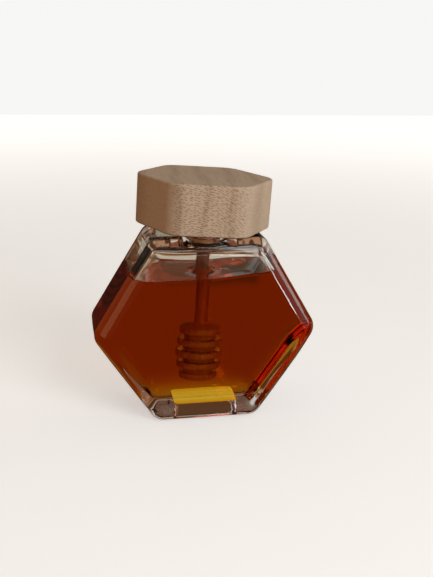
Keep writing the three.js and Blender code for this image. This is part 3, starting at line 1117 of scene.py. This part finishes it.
def ripple_group():
    """Height and roughness of a slow ripple with fine specks on it."""
    group, source = new_group("ripple and specks",
                              ["Ripple Length", "Speck Size", "Smooth", "Rough"],
                              ["Height", "Roughness"])
    where = source["Millimetres"]
    slow_scale = math_node(group, "DIVIDE", 1.0, source["Ripple Length"])
    fine_scale = math_node(group, "DIVIDE", 1.0, source["Speck Size"])
    slow = noise(group, where, slow_scale, 1.5, 0.4)
    specks = ramp(group, noise(group, where, fine_scale, 2.0), *SPECK_EDGE)
    height = math_node(group, "MULTIPLY_ADD", specks, SPECK_HEIGHT, slow)
    rough = add(group, "ShaderNodeMix", {"Factor": specks, "A": source["Smooth"],
                                         "B": source["Rough"]}, data_type="FLOAT").outputs[0]
    add(group, "NodeGroupOutput", {"Height": height, "Roughness": rough})
    return group


RIPPLE = ripple_group()


def rippled(tree, values, depth):
    """A normal and a roughness from the ripple group. Its bump is depth metres high."""
    node = add(tree, "ShaderNodeGroup", node_tree=RIPPLE)
    give(tree, node, {"Millimetres": millimetres(tree), **values})
    return bump(tree, node.outputs["Height"], depth, 1.0), node.outputs["Roughness"]


# %% [markdown]
# Where honey lies against glass, light passes from one to the other almost straight, because
# their indices are nearly the same. Blender sees two skins there, the inner wall and the
# honey's. So the wall lets light through unbent where honey touches it, and the honey's skin
# bends it by the ratio of the two indices. Each mesh carries an attribute that says where.

# %% Touching faces
GLASS_INDEX = 1.5
HONEY_INDEX = 1.49


def index_where(tree, shader, alone, touching):
    """Links the shader's IOR to one value where the piece is alone and one where it touches."""
    mark = add(tree, "ShaderNodeAttribute", attribute_name="touching").outputs["Fac"]
    index = add(tree, "ShaderNodeMapRange", {"Value": mark, "To Min": alone, "To Max": touching})
    shader.inputs["IOR"].default_value = alone
    tree.links.new(index.outputs["Result"], shader.inputs["IOR"])


print("light is bent at honey and glass by", round(HONEY_INDEX / GLASS_INDEX, 4))

# %% [markdown]
# The glass is clear, with the faint green-grey of thick glass. Both ends of the foot are
# stippled by the mould, which real glass shows as a frosted patch. Dots that fine would be lost
# in the mesh, so the roughness rises there.

# %% Glass finish
GLASS_TINT = (0.985, 0.99, 0.98)
GLASS_RIPPLE = {"Ripple Length": 9.0, "Speck Size": 0.7, "Smooth": 0.0, "Rough": 0.12}
GLASS_RIPPLE_DEPTH = 0.06 * MM
STIPPLE_START, STIPPLE_HEIGHTS, STIPPLE_ROUGHNESS = (15.0, 15.6), (0.6, 1.4), 0.55


def glass_material():
    """Clear glass, smooth but for its specks, and rough on the stipple, which reaches up to
    about a millimetre at both ends of the foot."""
    material, tree, shader, _ = new_material("clear moulded glass")
    normal, rough = rippled(tree, GLASS_RIPPLE, GLASS_RIPPLE_DEPTH)
    parts = parts_of(tree, millimetres(tree))
    from_middle = math_node(tree, "ABSOLUTE", parts["X"])
    ends = ramp(tree, from_middle, *STIPPLE_START, 0.0, STIPPLE_ROUGHNESS)
    low = ramp(tree, parts["Z"], *STIPPLE_HEIGHTS, 1.0, 0.0)
    rough = math_node(tree, "MAXIMUM", rough, math_node(tree, "MULTIPLY", ends, low))
    index_where(tree, shader, GLASS_INDEX, 1.0)
    give(tree, shader, {"Base Color": opaque(GLASS_TINT), "Transmission Weight": 1.0,
                        "Roughness": rough, "Normal": normal})
    return material


glass.data.materials.append(glass_material())
print(glass.name, "is", glass.active_material.name)

# %% [markdown]
# Honey is a clear liquid that swallows blue within a few millimetres, green within a few
# centimetres and red hardly at all. So its colour isn't painted on. A Volume Absorption node
# takes the light away with depth, and thin places come out yellow by themselves.

# %% Honey finish
HONEY_DENSITY = 300.0
HONEY_PASSES = (0.968, 0.83, 0.12)
HONEY_RIPPLE = {"Ripple Length": 14.0, "Speck Size": 1.1, "Smooth": 0.0, "Rough": 0.05}
HONEY_RIPPLE_DEPTH = 0.08 * MM


def honey_material():
    """A clear body with an index near that of glass, coloured only by the depth of honey."""
    material, tree, shader, output = new_material("amber honey")
    normal, rough = rippled(tree, HONEY_RIPPLE, HONEY_RIPPLE_DEPTH)
    index_where(tree, shader, HONEY_INDEX, HONEY_INDEX / GLASS_INDEX)
    give(tree, shader, {"Base Color": (1, 1, 1, 1), "Transmission Weight": 1.0,
                        "Roughness": rough, "Normal": normal})
    depth = add(tree, "ShaderNodeVolumeAbsorption", {"Color": opaque(HONEY_PASSES),
                                                     "Density": HONEY_DENSITY})
    tree.links.new(depth.outputs[0], output.inputs["Volume"])
    return material


honey.data.materials.append(honey_material())
print(honey.name, "is", honey.active_material.name)

# %% [markdown]
# Wood is a bundle of fibres. Its grain streaks run a long way along the fibres and only a
# little across, and growth rings band it. A photograph of wood would need unwrapping and would
# smear on the rounded edges, so noise in space stands for both. One group makes them for the
# lid and the dipper, from a vector whose Y axis lies along the fibres.

# %% Wood group
STREAK_SIZE, BEND_SIZE = (1.3, 16, 0.55), (12, 60, 30)
RING_BEND, RING_SHARPNESS = 0.9, 4.0


def wood_group():
    """Streaks along Y and soft bands across X, both from 0 to 1, from millimetres."""
    group, source = new_group("wood grain", ["Ring Width"], ["Streaks", "Rings"])
    where = source["Millimetres"]
    streaks = noise(group, stretched(group, where, *STREAK_SIZE), 1.0, 4.0, 0.6)
    bend = noise(group, stretched(group, where, *BEND_SIZE), 1.0, 1.0)
    place = math_node(group, "DIVIDE", parts_of(group, where)["X"], source["Ring Width"])
    warped = math_node(group, "MULTIPLY_ADD", bend, RING_BEND, place)
    wave = math_node(group, "SINE", math_node(group, "MULTIPLY", warped, 2 * math.pi))
    wave = math_node(group, "MULTIPLY_ADD", wave, 0.5, 0.5)
    rings = math_node(group, "POWER", wave, RING_SHARPNESS)
    add(group, "NodeGroupOutput", {"Streaks": streaks, "Rings": rings})
    return group


WOOD = wood_group()


def grain(tree, where, ring_width):
    """The wood group's streaks and rings at a place."""
    node = add(tree, "ShaderNodeGroup", node_tree=WOOD)
    give(tree, node, {"Millimetres": where, "Ring Width": ring_width})
    return node.outputs["Streaks"], node.outputs["Rings"]


# %% [markdown]
# The lid shows flecks on its front: short dark dashes in slanting rows, where the rays of the
# tree are cut across. A Voronoi node spreads one point over each cell of a grid, and a dash is
# a flat ellipse round that point. Towards the right the rows slant more and run closer.

# %% Lid dashes
DASH_PITCH = (1.9, 40.0, 1.0)
DASH_HALF = (0.8, 0.23)
DASH_SCATTER, DASH_EDGE = 0.75, (0.45, 1.25)
ROW_SLANT, RIGHT_SLANT, RIGHT_START = 0.2, 0.35, 3.0
FRONT_FACE, FRONT_END = -27.0, -23.5


def dash_mask(tree, where):
    """1 in the middle of each dash and 0 between them, on the front of the lid only."""
    parts = parts_of(tree, where)
    beyond = math_node(tree, "SUBTRACT", parts["X"], RIGHT_START)
    beyond = math_node(tree, "MAXIMUM", beyond, 0.0)
    sheared = math_node(tree, "MULTIPLY_ADD", parts["X"], ROW_SLANT, parts["Z"])
    sheared = math_node(tree, "MULTIPLY_ADD", beyond, RIGHT_SLANT, sheared)
    grid = add(tree, "ShaderNodeCombineXYZ", {"X": parts["X"], "Y": parts["Y"], "Z": sheared})
    cells = stretched(tree, grid.outputs[0], *DASH_PITCH)
    point = add(tree, "ShaderNodeTexVoronoi", {"Vector": cells, "Scale": 1.0,
                                               "Randomness": DASH_SCATTER})
    away = vector_node(tree, "SUBTRACT", cells, point.outputs["Position"])
    shape = (DASH_PITCH[0] / DASH_HALF[0], 0.0, DASH_PITCH[2] / DASH_HALF[1])
    size = vector_node(tree, "LENGTH", vector_node(tree, "MULTIPLY", away, shape))
    front = ramp(tree, parts["Y"], FRONT_FACE, FRONT_END, 1.0, 0.0)
    return math_node(tree, "MULTIPLY", ramp(tree, size, *DASH_EDGE, 1.0, 0.0), front)


# %% Lid finish
LID_PALE = (0.62, 0.48, 0.35)
LID_DARK = (0.27, 0.165, 0.10)
# Painted shade on the lid's underside: nearly black up to 0.1 mm, the wood above 0.7 mm.
LID_UNDER_SHADE, UNDER_SHADE_HEIGHTS = (0.10, 0.045, 0.022), (0.1, 0.7)
LID_RING_WIDTH = 12.5
LID_STREAKS = (0.35, 0.75, 0.0, 0.22)
LID_RINGS, LID_DASHES = 0.22, 0.6
LID_ROUGHNESS = (0.2, 0.8, 0.62, 0.8)


def lid_material():
    """Pale sanded hardwood with dashes, soft growth bands and faint grain, and painted shade on its
    underside.
    """
    material, tree, shader, _ = new_material("sanded lid wood")
    where = millimetres(tree, LEAN, LID_TURN, tuple(hung((0, 0, 0)).tolist()))
    streaks, rings = grain(tree, where, LID_RING_WIDTH)
    total = math_node(tree, "MULTIPLY_ADD", rings, LID_RINGS, ramp(tree, streaks, *LID_STREAKS))
    total = math_node(tree, "MULTIPLY_ADD", dash_mask(tree, where), LID_DASHES, total)
    colour = mix_colour(tree, total, LID_PALE, LID_DARK)
    # Painted shade: the underside is made nearly black.
    above = ramp(tree, parts_of(tree, where)["Z"], *UNDER_SHADE_HEIGHTS)
    relief = math_node(tree, "SUBTRACT", 1.0, total)
    give(tree, shader, {"Base Color": mix_colour(tree, above, LID_UNDER_SHADE, colour),
                        "Roughness": ramp(tree, streaks, *LID_ROUGHNESS),
                        "Normal": bump(tree, relief, 0.08 * MM, 0.6),
                        "Specular IOR Level": 0.25})
    return material


lid.data.materials.append(lid_material())
print(lid.name, "is", lid.active_material.name)

# %% [markdown]
# The dipper is the same kind of wood, turned with the fibres along its axis. Its handle has
# gone brown from honey, and below the level everything is wet. The same group gives the grain,
# turned so that its Y axis lies along the handle, and a sine along it gives the lathe's rings.

# %% Dipper finish
DIPPER_PALE = (0.54, 0.15, 0.055)
DIPPER_DARK = (0.40, 0.095, 0.035)
STAINED = (0.24, 0.06, 0.012)
DIPPER_RING_WIDTH = 2.6
DIPPER_STREAKS, DIPPER_RINGS = 0.6, 0.35
LATHE_RINGS, LATHE_HEIGHT = 14.0, 0.15


def dipper_material():
    """Turned wood with long grain along the axis and fine lathe rings across it."""
    material, tree, shader, _ = new_material("turned dipper wood")
    where = millimetres(tree, LEAN, 0.0, tuple(axis_point(0).tolist()))
    along = add(tree, "ShaderNodeVectorRotate", {"Vector": where, "Angle": math.radians(90)},
                rotation_type="X_AXIS").outputs[0]
    streaks, rings = grain(tree, along, DIPPER_RING_WIDTH)
    height = parts_of(tree, where)["Z"]
    lathe = math_node(tree, "SINE", math_node(tree, "MULTIPLY", height, LATHE_RINGS))
    streak = ramp(tree, streaks, 0.3, 0.7)
    total = math_node(tree, "ADD", math_node(tree, "MULTIPLY", streak, DIPPER_STREAKS),
                      math_node(tree, "MULTIPLY", rings, DIPPER_RINGS))
    colour = mix_colour(tree, total, DIPPER_PALE, DIPPER_DARK)
    level = (HONEY_LEVEL - axis_point(0)[2]) / MM
    dry = ramp(tree, height, level, level + HANDLE_RISE / MM)
    relief = math_node(tree, "ADD", math_node(tree, "MULTIPLY", lathe, LATHE_HEIGHT), total)
    give(tree, shader, {"Base Color": mix_colour(tree, dry, colour, STAINED),
                        "Roughness": ramp(tree, streak, 0.0, 1.0, 0.42, 0.6),
                        "Normal": bump(tree, relief, 0.06 * MM, 0.5)})
    return material


dipper.data.materials.append(dipper_material())
print(dipper.name, "is", dipper.active_material.name)

# %% [markdown]
# Cork is bark: tan cells with dark pits and short cracks. They are far too many to model, so a
# Voronoi node gives the cells, a noise the pits, and both go into the colour and the bump.

# %% Cork finish
CORK_TAN = (0.80, 0.42, 0.20)
CORK_DARK = (0.24, 0.10, 0.045)
CELLS_PER_MM, PITS_PER_MM, PIT_EDGE = 2.0, 0.55, (0.56, 0.64)


def cork_material():
    """Tan cork with cells about half a millimetre wide and scattered dark pits."""
    material, tree, shader, _ = new_material("natural cork")
    where = millimetres(tree, LEAN, 0.0, tuple(hung((0, 0, 0)).tolist()))
    cells = add(tree, "ShaderNodeTexVoronoi", {"Vector": where, "Scale": CELLS_PER_MM},
                feature="F1").outputs["Distance"]
    blots = noise(tree, where, PITS_PER_MM, 4.0)
    pits = ramp(tree, blots, *PIT_EDGE)
    tan = mix_colour(tree, cells, CORK_TAN, [c * 0.65 for c in CORK_TAN])
    relief = math_node(tree, "SUBTRACT", math_node(tree, "MULTIPLY", cells, 0.3), pits)
    give(tree, shader, {"Base Color": mix_colour(tree, pits, tan, CORK_DARK),
                        "Roughness": ramp(tree, blots, 0.3, 0.7, 0.75, 0.95),
                        "Normal": bump(tree, relief, 0.3 * MM, 0.8)})
    return material


cork.data.materials.append(cork_material())
print(cork.name, "is", cork.active_material.name)
